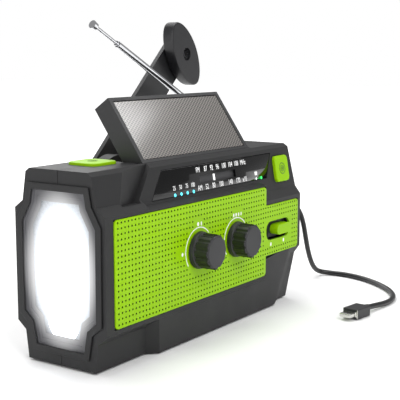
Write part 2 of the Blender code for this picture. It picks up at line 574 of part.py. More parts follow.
def crank():
    reach = (Vector(CRANK_PIVOT) - Vector(HUB)).length
    hub = publish("crank_hub", add_rod(bmesh.new(), on_arm(0, 0, 37.9), on_arm(0, 0, 42.0), 14.0, 12.5, segments=36),
                  CASE, (HUB[0], 0.0, HUB[1]))
    add(hub, "shaft", add_rod(bmesh.new(), on_arm(0, 0, 23.5), on_arm(0, 0, 40.0), 4.0))
    ears = bmesh.new()
    for side in (-1, 1):
        low, high = sorted((side * 8.2, side * 11.2))
        corners = [on_arm(a, c, 41.0) for a in (-4.0, 4.0) for c in (low, high)]
        for dy, da in ring(16, 3.3):
            corners += [on_arm(da, c, ARM_MIDDLE + dy) for c in (low, high)]
        add_hull(ears, corners)
    add(hub, "ears", ears)
    cut(hub, "pin_hole", add_rod(bmesh.new(), on_arm(0, -14, ARM_MIDDLE), on_arm(0, 14, ARM_MIDDLE), 1.6,
                                 segments=16))
    publish("crank_fold_pin", add_rod(bmesh.new(), on_arm(0, -11.0, ARM_MIDDLE), on_arm(0, 11.0, ARM_MIDDLE), 1.3,
                                      segments=16), STEEL, (HUB[0], 0.0, HUB[1]))
    half = ARM_WIDTH / 2
    outline = [(6.0, -half + 3), (9.0, -half), (reach, -half)]
    outline += [(reach + half * math.cos(a), half * math.sin(a))
                for a in (math.radians(-80 + 16 * step) for step in range(11))]
    outline += [(reach, half), (9.0, half), (6.0, half - 3)]
    plate = bmesh.new()
    add_prism(plate, outline, "Z", -ARM_THICK / 2, ARM_THICK / 2)
    plate.transform(Matrix(((ARM.x, ACROSS.x, 0, HUB[0]), (0, 0, 1, ARM_MIDDLE),
                            (ARM.y, ACROSS.y, 0, HUB[1]), (0, 0, 0, 1))))
    arm = publish("crank_arm", plate, CASE, (HUB[0], ARM_MIDDLE, HUB[1]))
    add(arm, "tongue", add_hull(bmesh.new(), [on_arm(a, c, y) for a in (0.0, 7.0) for c in (-7.6, 7.6)
                                              for y in (ARM_FRONT, ARM_FRONT + ARM_THICK)]))
    add(arm, "knuckle", add_rod(bmesh.new(), on_arm(0, -7.7, ARM_MIDDLE), on_arm(0, 7.7, ARM_MIDDLE), 2.8,
                                segments=20))
    cut(arm, "fold_bore", add_rod(bmesh.new(), on_arm(0, -9, ARM_MIDDLE), on_arm(0, 9, ARM_MIDDLE), 1.6,
                                  segments=16))
    x, z = CRANK_PIVOT
    cut(arm, "knob_bore", add_rod(bmesh.new(), (x, 40, z), (x, 55, z), 2.1, segments=16))
    grip = bmesh.new()
    add_prism(grip, [(23.0 * math.cos(a) * (1 + 0.04 * math.cos(2 * a)), 12.3 * math.sin(a))
                     for a in (2 * math.pi * step / 40 for step in range(40))], "Y", ARM_FRONT - 9.0, ARM_FRONT - GAP)
    turn = Matrix.Rotation(math.radians(58), 4, "Y")
    grip.transform(Matrix.Translation((x, 0, z)) @ turn)
    knob = publish("crank_knob", grip, BLACK, (x, 0.0, z))
    edge = knob.modifiers.new("edge", "BEVEL")
    edge.width = 1.2 * MM
    edge.segments = 2
    edge.angle_limit = math.radians(50)
    cut(knob, "bore", add_rod(bmesh.new(), (x, 35, z), (x, 48, z), 2.1, segments=16))
    cut(knob, "screw_well", add_rod(bmesh.new(), (x, 35, z), (x, 41.4, z), 4.2))
    screw = publish("crank_screw", add_rod(bmesh.new(), (x, 41.7, z), (x, 43.4, z), 3.6), STEEL, (x, 0.0, z))
    cut(knob, "head_seat", add_rod(bmesh.new(), (x, 41, z), (x, 43.7, z), 3.95))
    add(screw, "shank", add_rod(bmesh.new(), (x, 43.0, z), (x, 49.8, z), 1.75, segments=16))
    cut(screw, "cross", add_box(bmesh.new(), (x - 0.4, 40.5, z - 2.2), (x + 0.4, 42.5, z + 2.2)))


def gear(name, centre, teeth, module, low, high, phase, bore, look):
    """A spur gear along Y. Its teeth are slim, so meshed pairs run with backlash."""
    pitch_radius = module * teeth / 2
    outline = []
    for tooth in range(teeth):
        middle = phase + 2 * math.pi * tooth / teeth
        for radius, part in ((pitch_radius - 1.15 * module, -0.32), (pitch_radius + 0.62 * module, -0.12),
                             (pitch_radius + 0.62 * module, 0.12), (pitch_radius - 1.15 * module, 0.32)):
            angle = middle + part * 2 * math.pi / teeth
            outline.append((centre[0] + radius * math.cos(angle), centre[1] + radius * math.sin(angle)))
    wheel = publish(name, add_prism(bmesh.new(), outline, "Y", low, high), look, (centre[0], 0.0, centre[1]))
    if bore:
        cut(wheel, "bore", add_rod(bmesh.new(), (centre[0], low - 2, centre[1]), (centre[0], high + 2, centre[1]),
                                   bore))
    return wheel


def drive():
    down = -math.pi / 2
    gear("drive_gear", HUB, 32, 1.0, 30.2, 33.2, down, 4.0 + GAP, WHITE)
    second = (HUB[0], HUB[1] - GEAR_STEP)
    step_gear = gear("step_up_gear", second, 30, 0.8, 24.2, 26.8, math.pi / 30, None, WHITE)
    pinion = bmesh.new()
    outline = []
    for tooth in range(10):
        middle = math.pi / 2 + 2 * math.pi * (tooth + 0.5) / 10
        for radius, part in ((3.85, -0.32), (5.62, -0.12), (5.62, 0.12), (3.85, 0.32)):
            angle = middle + part * 2 * math.pi / 10
            outline.append((second[0] + radius * math.cos(angle), second[1] + radius * math.sin(angle)))
    add_prism(pinion, outline, "Y", 26.0, 33.4)
    add(step_gear, "pinion", pinion)
    add(step_gear, "arbor", add_rod(bmesh.new(), (second[0], 22.6, second[1]), (second[0], 27, second[1]), 2.0,
                                    segments=16))
    third = (second[0] + GENERATOR_STEP, second[1])
    gear("generator_pinion", third, 10, 0.8, 24.4, 26.6, 0.0, 1.2 + GAP, BRASS)
    generator = publish("generator", add_rod(bmesh.new(), (third[0], 3.0, third[1]), (third[0], 22.2, third[1]), 12.0,
                                             segments=32), STEEL)
    add(generator, "collar", add_rod(bmesh.new(), (third[0], 21.5, third[1]), (third[0], 23.4, third[1]), 4.0))
    publish("generator_shaft", add_rod(bmesh.new(), (third[0], 23.8, third[1]), (third[0], 28.0, third[1]), 1.2,
                                       segments=16), STEEL, (third[0], 0.0, third[1]))


# ---------------------------------------------------------------- electronics, battery and sockets

def electronics():
    board = publish("main_board", add_box(bmesh.new(), (-38.0, -14.0, 8.0), (78.0, -12.4, 76.0)), BOARD)
    chips = bmesh.new()
    add_box(chips, (30, -12.6, 14), (42, -10.8, 26))
    add(board, "chip", chips)
    publish("ferrite_rod", add_rod(bmesh.new(), (-12, -5, 85.5), (48, -5, 85.5), 4.0, segments=20), BLACK)
    coil = publish("ferrite_coil", add_rod(bmesh.new(), (4, -5, 85.5), (30, -5, 85.5), 5.3, segments=20), BRASS)
    cut(coil, "bore", add_rod(bmesh.new(), (0, -5, 85.5), (34, -5, 85.5), 4.0 + GAP, segments=20))
    for number, z in enumerate((13.6, 33.0), 1):
        cell = publish(f"battery_cell_{number}", add_rod(bmesh.new(), (-35, 12, z), (29, 12, z), 9.1, segments=28), CELL)
        add(cell, "cap", add_rod(bmesh.new(), (28, 12, z), (30.4, 12, z), 3.2, segments=16))


def battery_door():
    door = publish("battery_door", add_prism(bmesh.new(), rounded(DOOR[2], DOOR[3], 2.8, centre=DOOR[:2]), "Y",
                                             30.7, 32.2), CASE, (0.0, 32.2, DOOR[1] - DOOR[3] / 2))
    grips = bmesh.new()
    for step in range(4):
        add_box(grips, (-14, 32.0, 39.0 + 2.0 * step), (10, 32.8, 39.9 + 2.0 * step))
    add(door, "finger_ribs", grips)


def sockets():
    y, z = PORT
    block = publish("socket_block", add_prism(bmesh.new(), rounded(14.0, 34.0, 2.8, centre=(y, 51.0)), "X",
                                              88.0, 101.4), BLACK)
    cut(block, "usb_slot", add_box(bmesh.new(), (89.6, y - 2.65, z - 6.4), (104, y + 2.65, z + 6.4)))
    cut(block, "charge_slot", add_prism(bmesh.new(), rounded(3.2, 8.0, 1.2, centre=(y, 45.0)), "X", 95.0, 104.0))
    cut(block, "earphone_jack", add_rod(bmesh.new(), (93.0, y, 37.6), (104.0, y, 37.6), 1.9, segments=16))
    flap = publish("socket_flap", add_box(bmesh.new(), (104.2, 0.6, 34.0), (121.0, 2.0, 68.0)), RUBBER,
                   (103.6, 1.3, 51.0))
    add(flap, "hinge_roll", add_rod(bmesh.new(), (103.9, 1.3, 34.0), (103.9, 1.3, 68.0), 1.0, segments=16))


def lead_points():
    """Points every two or three diameters, on a smooth curve through the route."""
    route = [Vector(p) for p in LEAD_ROUTE]
    smooth = []
    for i in range(len(route) - 1):
        before = route[i - 1] if i else route[0] * 2 - route[1]
        after = route[i + 2] if i + 2 < len(route) else route[-1] * 2 - route[-2]
        for step in range(2):
            t = step / 2
            smooth.append(0.5 * ((2 * route[i]) + (route[i + 1] - before) * t
                                 + (2 * before - 5 * route[i] + 4 * route[i + 1] - after) * t * t
                                 + (3 * route[i] - before - 3 * route[i + 1] + after) * t ** 3))
    return smooth + [route[-1]]


def lead():
    y, z = PORT
    curve = bpy.data.curves.new("usb_cable", "CURVE")
    curve.dimensions = "3D"
    curve.bevel_depth = LEAD_RADIUS * MM
    curve.bevel_resolution = 2
    curve.use_fill_caps = True
    points = lead_points()
    spline = curve.splines.new("POLY")
    spline.points.add(len(points) - 1)
    for spot, point in zip(spline.points, points):
        spot.co = (*(point * MM), 1.0)
    cable = bpy.data.objects.new("usb_cable", curve)
    curve.materials.append(finish("usb_cable", *RUBBER))
    parts.objects.link(cable)
    plug = publish("usb_plug", add_prism(bmesh.new(), rounded(8.0, 16.0, 2.0, centre=(y, z)), "X", 103.4, 119.0),
                   RUBBER)
    add(plug, "shell", add_box(bmesh.new(), (90.6, y - 2.25, z - 6.0), (104.0, y + 2.25, z + 6.0)))
    add(plug, "relief", add_rod(bmesh.new(), (118.0, y, z), (128.0, y, z), 3.4, 2.2, segments=20))
    ahead = Vector((*CONNECTOR_HEADING, 0.0)).normalized()
    end = Vector(LEAD_ROUTE[-1]) + ahead * GAP
    square = Matrix(((ahead.x, -ahead.y, 0, end.x), (ahead.y, ahead.x, 0, end.y), (0, 0, 1, end.z), (0, 0, 0, 1)))

    def placed(bm):
        bm.transform(square)
        return bm

    tip = publish("usb_connector", placed(add_rod(bmesh.new(), (0, 0, 0), (6.5, 0, 0), 2.2, 2.9, segments=20)), RUBBER)
    add(tip, "grip", placed(add_box(bmesh.new(), (6.0, -5.6, -3.2), (21.0, 5.6, 3.2))))
    add(tip, "shell", placed(add_box(bmesh.new(), (20.5, -4.0, -1.3), (27.5, 4.0, 1.3))))


clear_scene()
outside = case_form()
inside = cavity()
front_case(outside, inside)
rear_case(outside, inside)
feet()
case_screws()
torch_end()
grille()
speaker()
dial()
controls()
alarm()
torch_button()
solar_panel()
antenna()
crank()
drive()
electronics()
battery_door()
sockets()
lead()
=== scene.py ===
import math

import bpy
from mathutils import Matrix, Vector


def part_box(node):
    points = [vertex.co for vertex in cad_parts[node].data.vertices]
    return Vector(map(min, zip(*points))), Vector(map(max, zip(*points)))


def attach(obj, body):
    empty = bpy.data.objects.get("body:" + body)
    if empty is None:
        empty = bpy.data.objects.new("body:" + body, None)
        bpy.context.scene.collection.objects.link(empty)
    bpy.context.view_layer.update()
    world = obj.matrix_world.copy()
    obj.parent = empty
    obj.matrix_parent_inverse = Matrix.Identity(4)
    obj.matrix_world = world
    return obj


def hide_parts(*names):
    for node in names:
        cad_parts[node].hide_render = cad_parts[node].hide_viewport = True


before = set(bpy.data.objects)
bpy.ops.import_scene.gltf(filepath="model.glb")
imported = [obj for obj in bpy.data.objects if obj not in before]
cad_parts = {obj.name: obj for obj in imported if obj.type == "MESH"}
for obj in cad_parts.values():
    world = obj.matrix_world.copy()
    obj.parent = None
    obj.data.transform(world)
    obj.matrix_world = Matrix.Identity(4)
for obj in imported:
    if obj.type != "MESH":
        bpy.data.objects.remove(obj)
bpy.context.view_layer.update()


# ---------------------------------------------------------------- camera
# A long lens stands a little above the radio and off its torch end, so that the front and that end both
# show, with little convergence.
bpy.ops.object.camera_add(location=(-0.46735, -0.34340, 0.16724),
                          rotation=(math.radians(81.279), 0.0, math.radians(-55.290)))
camera = bpy.context.object
camera.data.lens = 85.92
camera.data.sensor_width = 36.0
bpy.context.scene.camera = camera


# ---------------------------------------------------------------- charging lead
# A soft black PVC cord from the plug in the end of the case, down to the ground and round to its connector.
# It is extruded over copper and lies in one loose curve.
MM = 0.001


def linear(hex_colour):
    """An sRGB hex colour as linear RGBA."""
    channels = [int(hex_colour[i:i + 2], 16) / 255 for i in (1, 3, 5)]
    return (*(c / 12.92 if c <= 0.04045 else ((c + 0.055) / 1.055) ** 2.4 for c in channels), 1.0)


def node(material, kind, links=None, **settings):
    """Adds a node. Each link is a value for the socket, or another node's output socket."""
    made = material.node_tree.nodes.new(kind)
    for key, value in settings.items():
        setattr(made, key, value)
    for socket, value in (links or {}).items():
        if isinstance(value, bpy.types.NodeSocket):
            material.node_tree.links.new(value, made.inputs[socket])
        else:
            made.inputs[socket].default_value = value
    return made


def shader_of(name):
    """A new material, its Principled shader and its object coordinates."""
    material = bpy.data.materials.new(name)
    material.use_nodes = True
    shader = material.node_tree.nodes["Principled BSDF"]
    place = node(material, "ShaderNodeTexCoord").outputs["Object"]
    return material, shader, place


def join_up(material, output, shader, socket):
    material.node_tree.links.new(output, shader.inputs[socket])


def moulded(name, colour, lighter, roughness, grain_mm, depth_mm, ior=1.52):
    """Injection-moulded plastic: a fine spark-eroded grain, with faint cloudiness from handling."""
    material, shader, place = shader_of(name)
    grain = node(material, "ShaderNodeTexNoise", {"Vector": place, "Scale": 1000 / grain_mm, "Detail": 4.0,
                                                  "Roughness": 0.6})
    cloud = node(material, "ShaderNodeTexNoise", {"Vector": place, "Scale": 45.0, "Detail": 3.0})
    tint = node(material, "ShaderNodeMix", {"Factor": cloud.outputs["Fac"], 6: linear(colour),
                                            7: linear(lighter)}, data_type="RGBA")
    rough = node(material, "ShaderNodeMapRange", {"Value": cloud.outputs["Fac"], "From Min": 0.3,
                                                  "From Max": 0.7, "To Min": roughness - 0.05,
                                                  "To Max": roughness + 0.06})
    bump = node(material, "ShaderNodeBump", {"Height": grain.outputs["Fac"], "Strength": 0.35,
                                             "Distance": depth_mm * MM})
    join_up(material, tint.outputs[2], shader, "Base Color")
    join_up(material, rough.outputs["Result"], shader, "Roughness")
    join_up(material, bump.outputs["Normal"], shader, "Normal")
    shader.inputs["IOR"].default_value = ior
    return material


def dress(piece, *materials):
    """Gives an object, or the named CAD node, its materials in place of the ones it came with."""
    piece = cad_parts[piece] if isinstance(piece, str) else piece
    piece.data.materials.clear()
    for material in materials:
        piece.data.materials.append(material)
    return piece


def select_only(piece):
    bpy.ops.object.select_all(action="DESELECT")
    piece.select_set(True)
    bpy.context.view_layer.objects.active = piece


# The plasticiser leaves cable PVC satin, with a slight ripple from the extruder.
cord_pvc = moulded("extruded_black_pvc", "#0e0e10", "#151517", 0.36, 1.4, 0.05)

CORD_RADIUS = 1.8
CORD_ROUTE = (
    (128.3, -10.0, 59.0), (132.0, -10.0, 58.8), (136.6, -10.6, 56.4), (140.6, -11.8, 51.0),
    (143.2, -13.1, 42.5), (145.2, -14.0, 32.5), (149.0, -14.2, 22.0), (154.8, -13.9, 13.0),
    (162.0, -13.3, 6.8), (169.5, -13.6, 3.2), (174.3, -20.0, 1.9), (175.2, -32.0, 1.9),
    (172.0, -46.0, 1.9), (164.5, -60.5, 1.9), (153.5, -74.5, 1.9), (141.5, -84.6, 1.9),
    (128.5, -90.4, 1.9), (114.5, -91.6, 2.2), (101.0, -89.8, 3.0), (93.3, -88.8, 3.5),
)


def smooth_route(route, steps):
    """A smooth curve through the route's points, whose direction at each comes from the points beside it."""
    route = [Vector(p) for p in route]
    points = []
    for i in range(len(route) - 1):
        a = route[i - 1] if i else route[0] * 2 - route[1]
        b, c = route[i], route[i + 1]
        d = route[i + 2] if i + 2 < len(route) else route[-1] * 2 - route[-2]
        for step in range(steps):
            t = step / steps
            points.append(0.5 * (2 * b + (c - a) * t + (2 * a - 5 * b + 4 * c - d) * t * t
                                 + (3 * b - a - 3 * c + d) * t ** 3))
    return points + [route[-1]]


cord_line = [p * MM for p in smooth_route(CORD_ROUTE, 4)]
bpy.ops.object.select_all(action="DESELECT")
cord_curve = bpy.data.curves.new("charging_cord", "CURVE")
cord_curve.dimensions = "3D"
cord_curve.bevel_depth = CORD_RADIUS * MM
cord_curve.bevel_resolution = 4
cord_curve.use_fill_caps = True
cord_spline = cord_curve.splines.new("POLY")
cord_spline.points.add(len(cord_line) - 1)
for spot, point in zip(cord_spline.points, cord_line):
    spot.co = (*point, 1.0)
charging_cord = bpy.data.objects.new("charging_cord", cord_curve)
bpy.context.collection.objects.link(charging_cord)
dress(charging_cord, cord_pvc)
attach(charging_cord, "case")
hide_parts("usb_cable")


# ---------------------------------------------------------------- case halves
# Two deep dark grey ABS mouldings that meet in the middle of the thickness. Their corners are rounded
# in the tool, and their outside has a fine spark-eroded grain.
WELD = 0.000004
FLAT_WITHIN = math.radians(0.6)
SMOOTH_BELOW = math.radians(32)
FINE_EDGE_MM = 0.4


def softened(source, name, width_mm, body, segments=2, angle=28.0):
    """A rounded copy of a CAD node that stands for it: welded, flat faces joined, its edges bevelled."""
    piece = bpy.data.objects.new(name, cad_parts[source].data.copy())
    bpy.context.collection.objects.link(piece)
    select_only(piece)
    bpy.ops.object.mode_set(mode="EDIT")
    bpy.ops.mesh.select_all(action="SELECT")
    bpy.ops.mesh.remove_doubles(threshold=WELD)
    bpy.ops.mesh.dissolve_limited(angle_limit=FLAT_WITHIN)
    bpy.ops.object.mode_set(mode="OBJECT")
    if width_mm:
        bevel = piece.modifiers.new("rounded edges", "BEVEL")
        bevel.width = width_mm * MM
        bevel.segments = segments
        bevel.limit_method = "ANGLE"
        bevel.angle_limit = math.radians(angle)
        bevel.use_clamp_overlap = width_mm > FINE_EDGE_MM
        bevel.miter_outer = "MITER_SHARP" if width_mm > FINE_EDGE_MM else "MITER_ARC"
        bpy.ops.object.modifier_apply(modifier=bevel.name)
        low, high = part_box(source)
        for vertex in piece.data.vertices:
            for axis in range(3):
                vertex.co[axis] = min(max(vertex.co[axis], low[axis]), high[axis])
    bpy.ops.object.shade_smooth_by_angle(angle=SMOOTH_BELOW)
    flat = piece.modifiers.new("flat faces stay flat", "WEIGHTED_NORMAL")
    flat.keep_sharp = True
    bpy.ops.object.modifier_apply(modifier=flat.name)
    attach(piece, body)
    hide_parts(source)
    return piece


case_abs = moulded("moulded_abs_dark_grey", "#1d1d1e", "#232324", 0.5, 0.5, 0.04)
case_abs.node_tree.nodes["Principled BSDF"].inputs["Specular IOR Level"].default_value = 0.35
dress(softened("front_housing", "front_shell", 0.7, "case"), case_abs)
dress(softened("rear_housing", "rear_shell", 0.7, "case"), case_abs)


# ---------------------------------------------------------------- feet
# Three die-cut EVA strips, stuck under the case so that it doesn't slide. Foam rubber looks dull and slightly
# pitted, and its cut edges are almost square.
foot_rubber = moulded("cut_eva_foam", "#151516", "#1d1d1e", 0.85, 0.8, 0.15)
for foot in ("base_pad", "foot_left", "foot_right"):
    dress(softened(foot, foot + "_strip", 0.15, "case"), foot_rubber)


# ---------------------------------------------------------------- fasteners and pins
# Zinc-plated steel screws in deep wells hold the case halves, and steel pins carry the hinges. Plating has
# a soft, slightly cloudy shine.
def metal(name, colour, roughness, lay_mm, depth_mm):
    """A metal with fine machining or plating marks."""
    material, shader, place = shader_of(name)
    marks = node(material, "ShaderNodeTexNoise", {"Vector": place, "Scale": 1000 / lay_mm, "Detail": 3.0})
    rough = node(material, "ShaderNodeMapRange", {"Value": marks.outputs["Fac"], "To Min": roughness * 0.7,
                                                  "To Max": roughness * 1.4})
    bump = node(material, "ShaderNodeBump", {"Height": marks.outputs["Fac"], "Strength": 0.2,
                                             "Distance": depth_mm * MM})
    join_up(material, rough.outputs["Result"], shader, "Roughness")
    join_up(material, bump.outputs["Normal"], shader, "Normal")
    shader.inputs["Base Color"].default_value = linear(colour)
    shader.inputs["Metallic"].default_value = 1.0
    return material


zinc_plate = metal("zinc_plated_steel", "#b9bbc0", 0.28, 0.8, 0.02)
for number in (1, 2, 3, 4):
    dress(softened(f"case_screw_{number}", f"case_screw_{number}_head", 0.15, "case"), zinc_plate)
for pin in ("solar_hinge_pin", "antenna_pin", "crank_fold_pin", "generator_shaft"):
    dress(pin, zinc_plate)


# ---------------------------------------------------------------- torch end
# Three metallised cups behind one clear polycarbonate cover, framed by a raised grey rim. The lamps are
# lit, and the light that the cups throw is painted: the insides of the cups glow white, and a painted pool
# of glow spreads over their rims and the cover's grey border.
def glowing(name, colour, strength):
    """A lit lamp face or diffuser, or a painted glow on a part that is no lamp."""
    material, shader, place = shader_of(name)
    grain = node(material, "ShaderNodeTexNoise", {"Vector": place, "Scale": 600.0})
    rough = node(material, "ShaderNodeMapRange", {"Value": grain.outputs["Fac"], "To Min": 0.3,
                                                  "To Max": 0.45})
    join_up(material, rough.outputs["Result"], shader, "Roughness")
    shader.inputs["Base Color"].default_value = linear(colour)
    shader.inputs["Emission Color"].default_value = linear(colour)
    shader.inputs["Emission Strength"].default_value = strength
    return material


POOL_HALF_WIDTH = 0.0255
POOL_HALF_HEIGHT = 0.0430
POOL_MIDDLE_Z = 0.0532


def spill_lit(name, colour, brightest, rough_low):
    """A face with a painted pool of the lamps' light: an oval glow, brightest in its middle and gone at the
    border.
    """
    material, shader, place = shader_of(name)
    split = node(material, "ShaderNodeSeparateXYZ", {0: place})
    across = node(material, "ShaderNodeMath", {0: split.outputs["Y"], 1: 1 / POOL_HALF_WIDTH},
                  operation="MULTIPLY")
    raised = node(material, "ShaderNodeMath", {0: split.outputs["Z"], 1: POOL_MIDDLE_Z}, operation="SUBTRACT")
    up = node(material, "ShaderNodeMath", {0: raised.outputs["Value"], 1: 1 / POOL_HALF_HEIGHT},
              operation="MULTIPLY")
    oval = node(material, "ShaderNodeCombineXYZ", {0: across.outputs["Value"], 1: up.outputs["Value"]})
    reach = node(material, "ShaderNodeVectorMath", {0: oval.outputs["Vector"]}, operation="LENGTH")
    spill = node(material, "ShaderNodeMapRange", {"Value": reach.outputs["Value"], "From Min": 0.62,
                                                  "From Max": 1.12, "To Min": brightest, "To Max": 0.015},
                 interpolation_type="SMOOTHSTEP")
    marks = node(material, "ShaderNodeTexNoise", {"Vector": place, "Scale": 600.0})
    rough = node(material, "ShaderNodeMapRange", {"Value": marks.outputs["Fac"], "To Min": rough_low,
                                                  "To Max": rough_low + 0.15})
    join_up(material, spill.outputs["Result"], shader, "Emission Strength")
    join_up(material, rough.outputs["Result"], shader, "Roughness")
    shader.inputs["Emission Color"].default_value = linear("#ffffff")
    shader.inputs["Base Color"].default_value = linear(colour)
    return material


# Painted light: the cup rims carry a painted pool of glow, and the insides of the cups a painted white glow.
cup_rim_painted_glow = spill_lit("vacuum_metallised_cup_painted_glow", "#77787b", 1.3, 0.2)
cup_painted_glow = glowing("cup_painted_lamp_glow", "#ffffff", 2.2)
lamp_light = glowing("lit_led", "#ffffff", 14.0)
reflector = dress(softened("reflector", "reflector_cups", 0, "case"), cup_rim_painted_glow, cup_painted_glow)
CUP_HALF_WIDTH = 0.0118
rim_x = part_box("reflector")[0].x
for face in reflector.data.polygons:
    inside = face.center.x > rim_x + 0.0001 and abs(face.center.y) < CUP_HALF_WIDTH and face.normal.x < 0.2
    face.material_index = 1 if inside else 0

circuit_board = moulded("fr4_solder_mask", "#0f4a26", "#15602f", 0.3, 0.6, 0.02)
led_board = dress("torch_led_board", circuit_board, lamp_light)
BOARD_THICK = 0.0016
board_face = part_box("torch_led_board")[1].x - BOARD_THICK
for face in led_board.data.polygons:
    face.material_index = 1 if face.center.x < board_face - 0.0002 else 0

dress(softened("torch_bezel", "torch_rim", 0.45, "case", 3), case_abs)


def clear_moulding(name, tint, roughness):
    """Clear polycarbonate with the faint waviness of a moulding."""
    material, shader, place = shader_of(name)
    wave = node(material, "ShaderNodeTexNoise", {"Vector": place, "Scale": 120.0})
    bump = node(material, "ShaderNodeBump", {"Height": wave.outputs["Fac"], "Strength": 0.1,
                                             "Distance": 0.1 * MM})
    join_up(material, bump.outputs["Normal"], shader, "Normal")
    shader.inputs["Base Color"].default_value = linear(tint)
    shader.inputs["Roughness"].default_value = roughness
    shader.inputs["Transmission Weight"].default_value = 1.0
    shader.inputs["IOR"].default_value = 1.2
    return material


lens_clear = clear_moulding("clear_polycarbonate", "#f7fbff", 0.03)
torch_cover = dress(softened("torch_lens", "torch_cover", 0, "case"), lens_clear)
# The cover's grey border carries a painted pool of glow, which fades out towards its edge.
torch_cover.data.materials.append(spill_lit("grey_polycarbonate_border_painted_glow", "#4c4c50", 0.95, 0.25))
# Each step is an inset and the depth that it sinks: the grey border's faint contour ridges.
COVER_STEPS = ((1.2, 0.0), (0.3, 0.35), (2.4, 0.0), (0.3, 0.35), (2.6, 0.0), (0.3, 0.3))
select_only(torch_cover)
bpy.ops.object.mode_set(mode="EDIT")
bpy.ops.mesh.select_mode(type="FACE")
bpy.ops.mesh.select_all(action="DESELECT")
bpy.ops.object.mode_set(mode="OBJECT")
for face in torch_cover.data.polygons:
    face.select = face.normal.x < -0.9
bpy.ops.object.mode_set(mode="EDIT")
for inset_mm, sink_mm in COVER_STEPS:
    bpy.ops.mesh.inset(thickness=inset_mm * MM, use_boundary=True)
    bpy.ops.transform.translate(value=(sink_mm * MM, 0.0, 0.0))
bpy.ops.object.mode_set(mode="OBJECT")
middle_face = {face.index for face in torch_cover.data.polygons if face.select}
for face in torch_cover.data.polygons:
    face.material_index = 0 if face.index in middle_face or face.normal.x > 0.9 else 1
select_only(torch_cover)
bpy.ops.object.shade_smooth_by_angle(angle=math.radians(20))


# ---------------------------------------------------------------- grille panel
# A lime ABS facing let into the front. Rows of fine holes run right across it; those in front of the
# loudspeaker go through, and the rest are blind. The faces inside the holes are a darker green: painted
# shade.
lime_abs = moulded("moulded_abs_lime", "#8ec000", "#94c800", 0.4, 0.7, 0.02)
lime_abs.node_tree.nodes["Principled BSDF"].inputs["Specular IOR Level"].default_value = 0.14
COLUMN_PITCH = 2.92
ROW_PITCH = 3.02
COLUMNS = 66
ROWS = 19
FIRST_HOLE = (2.6, 2.2)
HOLE_RADIUS = 0.62
KNOB_CLEARANCE = 14.6
PLAIN_PATCHES = ((54.0, 90.0, 41.5, 61.5), (-41.0, -30.0, 51.0, 57.5), (-24.0, -15.0, 66.0, 72.0),
                 (15.0, 28.0, 66.0, 72.0))
panel_low, panel_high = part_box("grille_panel")
knob_axes = [(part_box(k)[0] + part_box(k)[1]) / 2 for k in ("volume_knob", "tuning_knob")]
speaker_middle = (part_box("speaker_frame")[0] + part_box("speaker_frame")[1]) / 2


def on_panel(x, z):
    """Whether a hole fits here: inside the stepped outline, off the knobs, their print and the switch."""
    if any(math.hypot(x - axis.x * 1000, z - axis.z * 1000) < KNOB_CLEARANCE for axis in knob_axes):
        return False
    if any(left < x < right and low < z < high for left, right, low, high in PLAIN_PATCHES):
        return False
    return x < 55.2 or x < 97.2 and 38.4 < z < 68.8


def over_speaker(x, z):
    across = abs(x - speaker_middle.x * 1000)
    up = abs(z - speaker_middle.z * 1000)
    return across < 22.5 and up < 24.0 and across + up < 38.0


def hole_cutter(name, wanted, depth_mm):
    """One mesh of eight-sided pegs, one for each hole."""
    front = panel_low.y
    bpy.ops.object.select_all(action="DESELECT")
    bpy.ops.mesh.primitive_cylinder_add(vertices=8, radius=HOLE_RADIUS * MM, depth=2 * depth_mm * MM,
                                        rotation=(math.pi / 2, 0.0, 0.0))
    peg = bpy.context.object
    bpy.ops.object.transform_apply()
    corners = [v.co.copy() for v in peg.data.vertices]
    faces = [tuple(p.vertices) for p in peg.data.polygons]
    bpy.data.objects.remove(peg, do_unlink=True)
    verts, polygons = [], []
    for column in range(COLUMNS):
        for row in range(ROWS):
            x = panel_low.x * 1000 + FIRST_HOLE[0] + column * COLUMN_PITCH
            z = panel_low.z * 1000 + FIRST_HOLE[1] + row * ROW_PITCH
            if not on_panel(x, z) or over_speaker(x, z) != wanted:
                continue
            start = len(verts)
            verts += [c + Vector((x * MM, front, z * MM)) for c in corners]
            polygons += [tuple(i + start for i in f) for f in faces]
    mesh = bpy.data.meshes.new(name)
    mesh.from_pydata(verts, [], polygons)
    cutter = bpy.data.objects.new(name, mesh)
    bpy.context.collection.objects.link(cutter)
    return cutter


def cut_away(piece, cutter, solver="MANIFOLD"):
    """Takes the cutter out of the piece and bins the cutter."""
    select_only(piece)
    step = piece.modifiers.new("cut", "BOOLEAN")
    step.solver = solver
    step.object = cutter
    bpy.ops.object.modifier_apply(modifier=step.name)
    bpy.data.objects.remove(cutter, do_unlink=True)


bpy.ops.object.select_all(action="DESELECT")
bpy.ops.mesh.primitive_cube_add(size=1.0)
grille = bpy.context.object
grille.name = "grille_facing"
STEP_X = 56.7
STEP_HEIGHTS = (37.0, 70.1)
NEAR = 0.0001
step_low, step_high = (Vector((STEP_X * MM, 0.0, height * MM)) for height in STEP_HEIGHTS)
grille.scale = (step_low.x - panel_low.x, panel_high.y - panel_low.y, panel_high.z - panel_low.z)
grille.location = ((step_low.x + panel_low.x) / 2, (panel_low.y + panel_high.y) / 2,
                   (panel_low.z + panel_high.z) / 2)
bpy.ops.object.transform_apply(location=True, rotation=False, scale=True)
bpy.ops.object.mode_set(mode="EDIT")
bpy.ops.mesh.bisect(plane_co=step_low, plane_no=(0, 0, 1))
bpy.ops.mesh.select_all(action="SELECT")
bpy.ops.mesh.bisect(plane_co=step_high, plane_no=(0, 0, 1))
bpy.ops.mesh.select_mode(type="FACE")
bpy.ops.mesh.select_all(action="DESELECT")
bpy.ops.object.mode_set(mode="OBJECT")
for face in grille.data.polygons:
    middle = face.center
    face.select = face.normal.x > 0.9 and step_low.z < middle.z < step_high.z
bpy.ops.object.mode_set(mode="EDIT")
